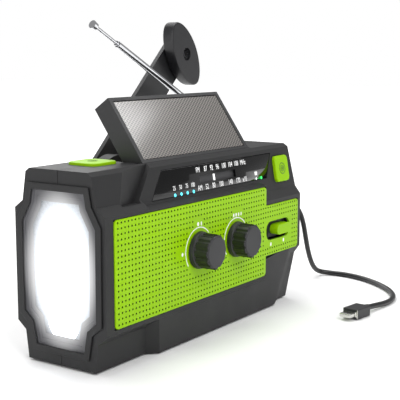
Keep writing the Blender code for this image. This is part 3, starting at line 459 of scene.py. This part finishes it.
bpy.ops.mesh.extrude_region_move(TRANSFORM_OT_translate={"value": (panel_high.x - step_low.x, 0, 0)})
bpy.ops.mesh.select_mode(type="EDGE")
bpy.ops.mesh.select_all(action="DESELECT")
bpy.ops.object.mode_set(mode="OBJECT")
for edge in grille.data.edges:
    a, b = (grille.data.vertices[i].co for i in edge.vertices)
    at_step = abs(a.x - step_low.x) < NEAR
    at_end = at_step or min(abs(a.x - panel_low.x), abs(a.x - panel_high.x)) < NEAR
    inner = at_step and min(abs(a.z - step_low.z), abs(a.z - step_high.z)) < NEAR
    outer = not at_step or min(abs(a.z - panel_low.z), abs(a.z - panel_high.z)) < NEAR
    along_left = abs(a.x - panel_low.x) < NEAR and step_low.z - NEAR < a.z < step_high.z + NEAR
    edge.select = abs(a.y - b.y) > 0.001 and at_end and outer and not inner and not along_left
bpy.ops.object.mode_set(mode="EDIT")
bpy.ops.mesh.bevel(offset=0.0026, segments=5, affect="EDGES")
bpy.ops.object.mode_set(mode="OBJECT")

edge_round = grille.modifiers.new("edge", "BEVEL")
edge_round.width = 0.0004
edge_round.segments = 2
edge_round.limit_method = "ANGLE"
edge_round.angle_limit = math.radians(50)
bpy.ops.object.modifier_apply(modifier=edge_round.name)
cut_away(grille, hole_cutter("through_pegs", True, 3.0))
cut_away(grille, hole_cutter("blind_pegs", False, 0.75))
for axis in knob_axes:
    bpy.ops.mesh.primitive_cylinder_add(vertices=40, radius=0.0042, depth=0.01, rotation=(math.pi / 2, 0, 0),
                                        location=(axis.x, panel_low.y, axis.z))
    cut_away(grille, bpy.context.object)
SLOT_X = 71.8
SLOT_Z = 53.0
SLOT_SIZE = (0.030, 0.010, 0.0125)
bpy.ops.mesh.primitive_cube_add(size=1.0, location=(SLOT_X * MM, panel_low.y, SLOT_Z * MM),
                                scale=SLOT_SIZE)
slot_cutter = bpy.context.object
bpy.ops.object.transform_apply(location=False, rotation=False, scale=True)
bpy.ops.object.mode_set(mode="EDIT")
bpy.ops.mesh.select_mode(type="EDGE")
bpy.ops.mesh.select_all(action="DESELECT")
bpy.ops.object.mode_set(mode="OBJECT")
for edge in slot_cutter.data.edges:
    a, b = (slot_cutter.data.vertices[i].co for i in edge.vertices)
    edge.select = abs(a.y - b.y) > 0.001
bpy.ops.object.mode_set(mode="EDIT")
bpy.ops.mesh.bevel(offset=0.0052, segments=6, affect="EDGES")
bpy.ops.object.mode_set(mode="OBJECT")
cut_away(grille, slot_cutter)
select_only(grille)
bpy.ops.object.shade_smooth_by_angle(angle=math.radians(30))
# Painted shade: the walls and bottoms of the holes take a darker green.
painted_hole_shade = moulded("lime_abs_painted_hole_shade", "#41580a", "#4a6410", 0.7, 0.7, 0.02)
dress(grille, lime_abs, painted_hole_shade)
for face in grille.data.polygons:
    middle = face.center
    clear_of_rim = panel_low.x + 0.0015 < middle.x < panel_high.x - 0.0015 \
        and panel_low.z + 0.0012 < middle.z < panel_high.z - 0.0012
    in_hole = middle.y > panel_low.y + 0.00025 and face.area < 1.8e-6
    face.material_index = 1 if clear_of_rim and in_hole else 0
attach(grille, "case")
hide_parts("grille_panel")


# ---------------------------------------------------------------- print on the panel
# White pad print: a scale arc over each knob, its end marks, and two marks under the band switch.
# The ink is a thin matt film.
print_white = moulded("pad_print_white", "#f4f6ef", "#ffffff", 0.6, 0.9, 0.005)
PRINT_THICK = 0.08
PRINT_GAP = 0.00002


def printed(piece, body="case"):
    dress(piece, print_white)
    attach(piece, body)
    return piece


def arc_print(name, centre, radius_mm, start_deg, end_deg, width_mm):
    """A flat printed arc on the panel, part of a ring round the knob's axis."""
    inner = (radius_mm - width_mm / 2) * MM
    grown = (radius_mm + width_mm / 2) / (radius_mm - width_mm / 2)
    bpy.ops.object.select_all(action="DESELECT")
    bpy.ops.mesh.primitive_circle_add(vertices=120, radius=inner, rotation=(math.pi / 2, 0.0, 0.0))
    piece = bpy.context.object
    piece.name = name
    bpy.ops.object.transform_apply(rotation=True)
    bpy.ops.object.mode_set(mode="EDIT")
    bpy.ops.mesh.select_mode(type="VERT")
    bpy.ops.mesh.select_all(action="DESELECT")
    bpy.ops.object.mode_set(mode="OBJECT")
    for vertex in piece.data.vertices:
        turn = math.degrees(math.atan2(vertex.co.z, vertex.co.x)) % 360
        vertex.select = not start_deg <= turn <= end_deg
    bpy.ops.object.mode_set(mode="EDIT")
    bpy.ops.mesh.delete(type="VERT")
    bpy.ops.mesh.select_all(action="SELECT")
    bpy.ops.mesh.extrude_edges_move()
    bpy.ops.transform.resize(value=(grown, 1.0, grown), center_override=(0, 0, 0))
    bpy.ops.mesh.select_all(action="SELECT")
    bpy.ops.mesh.extrude_region_move(TRANSFORM_OT_translate={"value": (0.0, -PRINT_THICK * MM, 0.0)})
    bpy.ops.mesh.select_all(action="SELECT")
    bpy.ops.mesh.normals_make_consistent(inside=False)
    bpy.ops.transform.translate(value=(centre.x, panel_low.y - PRINT_GAP, centre.z))
    bpy.ops.object.mode_set(mode="OBJECT")
    return printed(piece)


def bar_print(name, x, z, width_mm, height_mm):
    """A small printed block with its corners clipped."""
    bpy.ops.object.select_all(action="DESELECT")
    bpy.ops.mesh.primitive_cylinder_add(vertices=8, radius=0.5, depth=1.0, rotation=(math.pi / 2, 0, 0))
    piece = bpy.context.object
    piece.name = name
    bpy.ops.object.transform_apply(rotation=True)
    piece.scale = (width_mm * MM, PRINT_THICK * MM, height_mm * MM)
    piece.location = (x * MM, panel_low.y - PRINT_THICK * MM / 2 - PRINT_GAP, z * MM)
    bpy.ops.object.transform_apply(location=True, scale=True)
    return printed(piece)


for name, axis in zip(("volume_scale_arc", "tuning_scale_arc"), knob_axes):
    arc_print(name, axis, radius_mm=13.3, start_deg=40.0, end_deg=218.0, width_mm=0.6)
for number, (x, z, wide, high) in enumerate((
        (-36.2, 54.2, 1.6, 2.4), (-33.2, 54.2, 1.2, 2.4), (-20.6, 69.6, 2.2, 2.6), (-17.4, 69.6, 1.4, 2.6),
        (17.4, 69.4, 1.6, 2.4), (20.2, 69.4, 1.6, 2.4), (23.0, 69.4, 1.6, 2.4), (25.8, 69.4, 1.2, 2.4),
        (62.6, 44.1, 1.8, 2.6), (79.0, 44.5, 1.8, 2.6))):
    bar_print(f"panel_mark_{number + 1}", x, z, wide, high)


# ---------------------------------------------------------------- knobs
# Charcoal ABS pushed onto the spindles, with a wide foot, twelve flutes for grip and a smooth cap. The cap
# is a little lighter and duller than the grip.
knob_abs = moulded("moulded_abs_charcoal", "#131316", "#1a1a1d", 0.4, 0.6, 0.03)
knob_cap = moulded("moulded_abs_charcoal_cap", "#202023", "#27272a", 0.5, 0.4, 0.02)
for knob in ("volume_knob", "tuning_knob"):
    shape = dress(softened(knob, knob + "_grip", 0.35, knob), knob_abs, knob_cap)
    cap_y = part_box(knob)[0].y
    for face in shape.data.polygons:
        face.material_index = 1 if face.center.y < cap_y + 0.0006 and face.normal.y < -0.6 else 0


# ---------------------------------------------------------------- band switch
# A lime slider cap on a near-black shoe, which runs behind the panel's rounded slot. The shoe keeps the slot
# dark round the cap wherever the switch stands.
slider_shoe = moulded("moulded_shoe_black", "#0b0c14", "#12131c", 0.5, 0.6, 0.02)
slider_cap = dress(softened("band_slider", "band_slider_cap", 0.5, "band_slider"), lime_abs, slider_shoe)
SHOE_Y = -0.0312
for face in slider_cap.data.polygons:
    face.material_index = 1 if face.center.y > SHOE_Y else 0
dress("band_switch", zinc_plate)


# ---------------------------------------------------------------- alarm and torch buttons
# Soft-edged lime buttons, moulded in the panel's ABS, over black switches. Each carries a darker symbol of
# a dot and two rings in place of lettering.
symbol_dark = moulded("sunk_symbol", "#5f8a00", "#6c9a04", 0.5, 0.5, 0.02)
dress(softened("alarm_button", "alarm_button_cap", 0, "alarm_button"), lime_abs)
dress(softened("torch_button", "torch_button_cap", 0, "torch_button"), lime_abs)

LEAN = math.atan(0.1697)
LEAN_POINT = Vector((0.0, -26.13, 88.9))


def lean_spot(x, up, out):
    """A place on the leaning upper front: along it, up it and out from it, in millimetres."""
    return Vector((x, LEAN_POINT.y + up * math.sin(LEAN) - out * math.cos(LEAN),
                   LEAN_POINT.z + up * math.cos(LEAN) + out * math.sin(LEAN))) * MM


def waves(name, spot, tilt, radius_mm, body, material):
    """A dot and two rings round it, raised a little from the button."""
    made = []
    for radius in (0.0, 0.45, 0.85):
        bpy.ops.object.select_all(action="DESELECT")
        if radius:
            bpy.ops.mesh.primitive_torus_add(major_radius=radius * radius_mm * MM, minor_radius=0.00045,
                                             major_segments=32, minor_segments=6)
        else:
            bpy.ops.mesh.primitive_uv_sphere_add(radius=0.0011, segments=16, ring_count=8)
        ring = bpy.context.object
        ring.scale = (1.0, 1.0, 0.5)
        ring.rotation_euler = tilt
        ring.location = spot
        made.append(ring)
    bpy.ops.object.select_all(action="DESELECT")
    for ring in made:
        ring.select_set(True)
    bpy.context.view_layer.objects.active = made[0]
    bpy.ops.object.join()
    symbol = bpy.context.object
    symbol.name = name
    bpy.ops.object.transform_apply()
    bpy.ops.object.shade_smooth()
    dress(symbol, material)
    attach(symbol, body)


waves("alarm_symbol", lean_spot(85.0, 2.4, 2.0), (math.pi / 2 - LEAN, 0.0, 0.0), 4.2, "alarm_button",
      symbol_dark)
torch_low, torch_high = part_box("torch_button")
torch_top = Vector(((torch_low.x + torch_high.x) / 2, (torch_low.y + torch_high.y) / 2, torch_high.z))
waves("torch_symbol", torch_top, (0.0, 0.0, 0.0), 3.0, "torch_button", symbol_dark)
switch_black = moulded("moulded_switch_black", "#18181a", "#202022", 0.45, 0.6, 0.02)
for switch in ("alarm_switch", "torch_switch", "ferrite_rod"):
    dress(switch, switch_black)


# ---------------------------------------------------------------- dial window
# A glossy smoked acrylic strip over a grey card, with white print on its face. The pointer runs in a slot,
# and small lamps show the charge, the band and a tuned station. The print and the pointer carry a faint
# painted glow.
def gloss_black(name, colour, roughness):
    """Polished acrylic, almost free of texture, with the odd hairline."""
    material, shader, place = shader_of(name)
    hair = node(material, "ShaderNodeTexNoise", {"Vector": place, "Scale": 300.0, "Detail": 2.0})
    rough = node(material, "ShaderNodeMapRange", {"Value": hair.outputs["Fac"], "To Min": roughness * 0.6,
                                                  "To Max": roughness * 1.4})
    join_up(material, rough.outputs["Result"], shader, "Roughness")
    shader.inputs["Base Color"].default_value = linear(colour)
    shader.inputs["Coat Weight"].default_value = 0.3
    shader.inputs["Coat Roughness"].default_value = 0.03
    return material


window_acrylic = gloss_black("smoked_acrylic", "#040405", 0.06)
window_acrylic.node_tree.nodes["Principled BSDF"].inputs["Specular IOR Level"].default_value = 0.3
dial_glass = softened("dial_window", "dial_glass", 0.25, "case")
POINTER_SLOT = (0.0392, 0.006, 0.0046)
bpy.ops.mesh.primitive_cube_add(size=1.0, location=lean_spot(11.2, 4.9, 0.0), rotation=(-LEAN, 0, 0),
                                scale=POINTER_SLOT)
pointer_slot = bpy.context.object
cut_away(dial_glass, pointer_slot, "EXACT")
dress(dial_glass, window_acrylic)
dress("dial_scale", moulded("printed_grey_card", "#3a3a3c", "#454547", 0.6, 0.5, 0.01))
# The white pointer carries a painted glow.
dress("dial_pointer", glowing("white_pointer_painted_glow", "#f5f5f5", 0.7))

# The white print and the charge icon carry a faint painted glow.
dial_print_painted_glow = glowing("dial_print_white_painted_glow", "#eeeeee", 0.25)


def dial_text(name, words, x, up, size_mm, squeeze=0.72):
    """One line of print on the window, as a thin mesh."""
    bpy.ops.object.select_all(action="DESELECT")
    bpy.ops.object.text_add(location=lean_spot(x, up, -0.06), rotation=(math.pi / 2 - LEAN, 0.0, 0.0))
    piece = bpy.context.object
    piece.data.body = words
    piece.data.size = size_mm * MM
    piece.data.align_x = "CENTER"
    piece.data.align_y = "CENTER"
    piece.data.extrude = 0.00004
    piece.data.resolution_u = 3
    piece.scale.x = squeeze
    bpy.ops.object.convert(target="MESH")
    piece = bpy.context.object
    piece.name = name
    bpy.ops.object.transform_apply()
    dress(piece, dial_print_painted_glow)
    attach(piece, "case")


UPPER_ROW, LOWER_ROW = 10.6, -0.1
SCALE_TEXT, CHARGE_TEXT = 4.5, 3.6
CHARGE_START, CHARGE_PITCH = -34.2, 6.1
for number, (words, x) in enumerate((("FM", -9.0), ("87", -1.0), ("92", 5.4), ("96", 11.8), ("100", 18.8),
                                     ("104", 26.0), ("108", 32.8), ("MHz", 40.6))):
    dial_text(f"upper_scale_{number + 1}", words, x, UPPER_ROW, SCALE_TEXT)
for number, (words, x) in enumerate((("AM", -9.0), ("52", -1.6), ("80", 5.6), ("100", 13.6), ("140", 24.0),
                                     ("170", 32.6), ("x10", 40.4))):
    dial_text(f"lower_scale_{number + 1}", words, x, LOWER_ROW, SCALE_TEXT)
for number, words in enumerate(("25", "50", "75", "100")):
    dial_text(f"charge_level_{number + 1}", words, CHARGE_START + CHARGE_PITCH * number, 2.6, CHARGE_TEXT)


def lamp_dot(name, x, up, colour, strength, radius_mm=0.95):
    """A small domed lamp window in the acrylic."""
    bpy.ops.object.select_all(action="DESELECT")
    bpy.ops.mesh.primitive_uv_sphere_add(radius=radius_mm * MM, segments=20, ring_count=10,
                                         rotation=(math.pi / 2 - LEAN, 0.0, 0.0),
                                         location=lean_spot(x, up, -0.1))
    piece = bpy.context.object
    piece.name = name
    piece.scale.z = 0.25
    bpy.ops.object.transform_apply()
    bpy.ops.object.shade_smooth()
    dress(piece, glowing(name + "_light", colour, strength))
    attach(piece, "case")


for number in range(4):
    lamp_dot(f"charge_lamp_{number + 1}", CHARGE_START + CHARGE_PITCH * number, -1.3, "#4fd3e8", 2.0)
lamp_dot("band_lamp_white", 54.2, -1.2, "#dfe6e6", 1.0, 0.8)
lamp_dot("tuned_lamp_green", 60.4, -1.2, "#2fe060", 2.0)
bpy.ops.mesh.primitive_cube_add(size=1.0, location=lean_spot(54.4, 2.2, -0.06), rotation=(-LEAN, 0, 0),
                                scale=(0.0030, 0.00008, 0.0024))
charge_icon = bpy.context.object
charge_icon.name = "charge_icon"
bpy.ops.object.transform_apply()
corner_round = charge_icon.modifiers.new("corners", "BEVEL")
corner_round.width = 0.0003
bpy.ops.object.modifier_apply(modifier=corner_round.name)
dress(charge_icon, dial_print_painted_glow)
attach(charge_icon, "case")


# ---------------------------------------------------------------- solar panel
# A frame with a glass-faced cell that lifts on a steel pin. The cell is dark brown silicon under fine
# printed silver fingers, and a frosted reading lamp fills the underside of the frame.
SOLAR_RAISED = math.radians(55.2)
frame_abs = moulded("moulded_abs_black_grey", "#1b1b1d", "#222224", 0.45, 0.5, 0.04)
dress(softened("solar_frame", "solar_rim", 0.8, "solar_panel", 3), frame_abs)


def solar_silicon():
    """Silicon under glass, with a diagonal lattice of fingers, drawn a little coarser than real to show."""
    material, shader, place = shader_of("solar_silicon_under_glass")
    flat = node(material, "ShaderNodeMapping", {"Vector": place, "Rotation": (-SOLAR_RAISED, 0.0, 0.0)})
    lines = []
    for turn in (math.radians(58), math.radians(-58)):
        turned = node(material, "ShaderNodeMapping", {"Vector": flat.outputs["Vector"],
                                                      "Rotation": (0, 0, turn)})
        wave = node(material, "ShaderNodeTexWave", {"Vector": turned.outputs["Vector"], "Scale": 190.0,
                                                    "Distortion": 0.0}, bands_direction="X")
        lines.append(wave.outputs["Fac"])
    lattice = node(material, "ShaderNodeMath", {0: lines[0], 1: lines[1]}, operation="MAXIMUM")
    fine = node(material, "ShaderNodeMapRange", {"Value": lattice.outputs["Value"], "From Min": 0.74,
                                                 "From Max": 1.0})
    tint = node(material, "ShaderNodeMix", {"Factor": fine.outputs["Result"], 6: linear("#0a0706"),
                                            7: linear("#8f8983")}, data_type="RGBA")
    rough = node(material, "ShaderNodeMapRange", {"Value": fine.outputs["Result"], "To Min": 0.28,
                                                  "To Max": 0.5})
    join_up(material, tint.outputs[2], shader, "Base Color")
    join_up(material, rough.outputs["Result"], shader, "Roughness")
    shader.inputs["Coat Weight"].default_value = 0.8
    shader.inputs["Coat Roughness"].default_value = 0.12
    return material


dress(softened("solar_cell", "solar_cell_glass", 0.3, "solar_panel"), solar_silicon())


LAMP_PITCH = 9.0


def lamp_diffuser():
    """Opal acrylic over a row of small lamps: bright over each lamp and dimmer between them."""
    material, shader, place = shader_of("opal_acrylic_over_lamps")
    split = node(material, "ShaderNodeSeparateXYZ", {0: place})
    beat = node(material, "ShaderNodeMath", {0: split.outputs["X"], 1: 2 * math.pi / (LAMP_PITCH * MM)},
                operation="MULTIPLY")
    wave = node(material, "ShaderNodeMath", {0: beat.outputs["Value"]}, operation="COSINE")
    glow = node(material, "ShaderNodeMapRange", {"Value": wave.outputs["Value"], "From Min": -1.0,
                                                 "From Max": 1.0, "To Min": 0.42, "To Max": 1.1})
    frost = node(material, "ShaderNodeTexNoise", {"Vector": place, "Scale": 600.0})
    rough = node(material, "ShaderNodeMapRange", {"Value": frost.outputs["Fac"], "To Min": 0.35,
                                                  "To Max": 0.5})
    join_up(material, glow.outputs["Result"], shader, "Emission Strength")
    join_up(material, rough.outputs["Result"], shader, "Roughness")
    shader.inputs["Emission Color"].default_value = linear("#fff8ea")
    shader.inputs["Base Color"].default_value = linear("#c9c8c4")
    return material


dress(softened("reading_lamp", "reading_lamp_diffuser", 0.5, "solar_panel"), lamp_diffuser())


# ---------------------------------------------------------------- antenna
# Drawn brass tubes with bright chrome plating, each sliding in the next, and a turned tip. The outer one
# folds on a pin in a forked base. The inner two keep sharp edges, so that they don't meet.
chrome = metal("bright_chrome_plate", "#dcdde0", 0.09, 3.0, 0.004)
for tube, body in (("antenna_outer_tube", "antenna"), ("antenna_middle_tube", "antenna_middle"),
                   ("antenna_tip_rod", "antenna_tip"), ("antenna_base", "case")):
    edge_mm = 0.0 if body in ("antenna_middle", "antenna_tip") else 0.12
    dress(softened(tube, tube + "_plated", edge_mm, body, 2, 40.0), chrome)


# ---------------------------------------------------------------- crank
# A flat arm that folds on a steel pin in its hub, and a turning knob held by a screw. The arm and hub are
# smooth moulded nylon, and the knob is the same ABS as the other two.
crank_nylon = moulded("moulded_nylon_charcoal", "#1a1a1c", "#232325", 0.4, 0.6, 0.03)
dress(softened("crank_arm", "crank_arm_bar", 0.6, "crank_arm", 3), crank_nylon)
dress(softened("crank_knob", "crank_knob_grip", 0.25, "crank_knob", 2, 50.0), knob_abs)
dress(softened("crank_hub", "crank_hub_boss", 0.5, "crank_hub"), crank_nylon)
dress(softened("crank_screw", "crank_screw_head", 0.2, "crank_arm"), zinc_plate)


# ---------------------------------------------------------------- drive train
# Acetal gears step the crank up to a small generator with a turned brass pinion. Acetal is milky and waxy.
# The tuning parts are acetal too, and the cans round the motor and the volume control are plated steel.
acetal = moulded("moulded_acetal_natural", "#dcd8cc", "#e8e4da", 0.38, 1.2, 0.01)
turned_brass = metal("turned_brass", "#c79a4b", 0.25, 0.6, 0.02)
for wheel in ("drive_gear", "step_up_gear", "tuning_drum", "tuning_capacitor"):
    dress(wheel, acetal)
for turned_part in ("generator_pinion", "ferrite_coil"):
    dress(turned_part, turned_brass)
for can in ("generator", "volume_pot", "speaker_frame"):
    dress(can, zinc_plate)


# ---------------------------------------------------------------- loudspeaker cone, board and cells
# Pressed black paper in a steel basket, a circuit board under green solder mask, and two cells. Their PVC
# sleeves are shrunk on with heat, which leaves them glossy and slightly uneven.
dress("speaker_cone", moulded("pressed_cone_paper", "#1a1a1a", "#262524", 0.85, 0.9, 0.1))
dress("main_board", circuit_board)
sleeve = moulded("pvc_shrink_sleeve_blue", "#1f4f9a", "#2a5cab", 0.3, 2.5, 0.02)
for cell in ("battery_cell_1", "battery_cell_2"):
    dress(cell, sleeve)


# ---------------------------------------------------------------- battery door
# A thin cover in the case's own ABS, flush with the back and hinged along its lower edge. Four moulded ribs
# give a finger something to push on.
dress(softened("battery_door", "battery_cover", 0.3, "battery_door"), case_abs)


# ---------------------------------------------------------------- sockets and flap
# A black block with the charging sockets, and a flap that swings open beside them. The flap is moulded TPE
# rubber, so it is duller than the block.
dress(softened("socket_block", "socket_face", 0.2, "case"), switch_black)
flap_rubber = moulded("moulded_tpe_black", "#1b1b1d", "#242426", 0.7, 0.8, 0.05)
dress(softened("socket_flap", "socket_flap_cover", 0.4, "socket_flap"), flap_rubber)


# ---------------------------------------------------------------- plug and connector
# Grips of PVC moulded over nickel-plated shells. The plug's grip runs out into a smooth tapered strain
# relief where the cord leaves it.
plug_pvc = moulded("overmoulded_pvc", "#1a1a1d", "#232327", 0.45, 0.7, 0.04)
nickel = metal("nickel_plated_shell", "#c9c8c4", 0.18, 1.5, 0.01)
plug_grip = dress(softened("usb_plug", "usb_plug_grip", 0.5, "case"), plug_pvc, nickel)
shell_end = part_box("usb_plug")[0].x + 0.0125
for face in plug_grip.data.polygons:
    face.material_index = 1 if face.center.x < shell_end else 0
connector_grip = dress(softened("usb_connector", "usb_connector_grip", 0.5, "case"), plug_pvc, nickel)
bare_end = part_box("usb_connector")[0].x + 0.0065
for face in connector_grip.data.polygons:
    face.material_index = 1 if face.center.x < bare_end else 0


# ---------------------------------------------------------------- floor and lights
# A plain pale floor, a large soft key from the front left, a top light and softer fills. Two small lights
# give the cell and the dial their sheen.
bpy.ops.object.select_all(action="DESELECT")
bpy.ops.mesh.primitive_plane_add(size=8.0, location=(0.0, 0.0, -0.0001))
floor = bpy.context.object
floor.name = "studio_floor"
floor_paint, floor_shader, floor_place = shader_of("pale_paper")
paper = node(floor_paint, "ShaderNodeTexNoise", {"Vector": floor_place, "Scale": 30.0})
paper_tint = node(floor_paint, "ShaderNodeMix", {"Factor": paper.outputs["Fac"], 6: linear("#f6f6f6"),
                                                 7: linear("#fcfcfc")}, data_type="RGBA")
join_up(floor_paint, paper_tint.outputs[2], floor_shader, "Base Color")
distance = node(floor_paint, "ShaderNodeVectorMath", {0: floor_place}, operation="LENGTH")
backdrop = node(floor_paint, "ShaderNodeMapRange", {"Value": distance.outputs["Value"], "From Min": 0.3,
                                                    "From Max": 1.3, "To Min": 0.0, "To Max": 0.75})
join_up(floor_paint, backdrop.outputs["Result"], floor_shader, "Emission Strength")
floor_shader.inputs["Emission Color"].default_value = (1.0, 1.0, 1.0, 1.0)
floor_shader.inputs["Roughness"].default_value = 0.8
dress(floor, floor_paint)


def soft_light(name, location, target, size, power):
    bpy.ops.object.light_add(type="AREA", location=location)
    lamp = bpy.context.object
    lamp.name = name
    lamp.data.shape = "SQUARE"
    lamp.data.size = size
    lamp.data.energy = power
    lamp.rotation_euler = (Vector(target) - Vector(location)).to_track_quat("-Z", "Y").to_euler()


soft_light("key", (-0.35, -0.85, 0.85), (0.0, 0.0, 0.06), 0.7, 7.6)
soft_light("top", (0.1, 0.25, 1.2), (0.0, 0.0, 0.05), 0.9, 9.0)
soft_light("end_fill", (-1.1, 0.15, 0.35), (-0.1, 0.0, 0.06), 0.7, 3.2)
soft_light("back_fill", (0.5, 0.9, 0.6), (0.0, 0.0, 0.06), 0.8, 4.5)
soft_light("cell_sheen", (0.90, -0.457, 0.99), (-0.03, 0.0, 0.13), 0.3, 2.2)
soft_light("dial_sheen", (1.157, -0.98, 0.18), (0.0, -0.03, 0.09), 0.3, 0.13)
world = bpy.data.worlds.new("pale_studio")
bpy.context.scene.world = world
world.use_nodes = True
world.node_tree.nodes["Background"].inputs["Color"].default_value = (1.0, 1.0, 1.0, 1.0)
# The sky is white to look at, and lights the radio with only part of that.
SKY_LIGHT = 0.36
light_path = node(world, "ShaderNodeLightPath")
seen_or_lit = node(world, "ShaderNodeMapRange", {"Value": light_path.outputs["Is Camera Ray"],
                                                 "To Min": SKY_LIGHT, "To Max": 1.0})
join_up(world, seen_or_lit.outputs["Result"], world.node_tree.nodes["Background"], "Strength")
bpy.context.scene.view_settings.view_transform = "Standard"
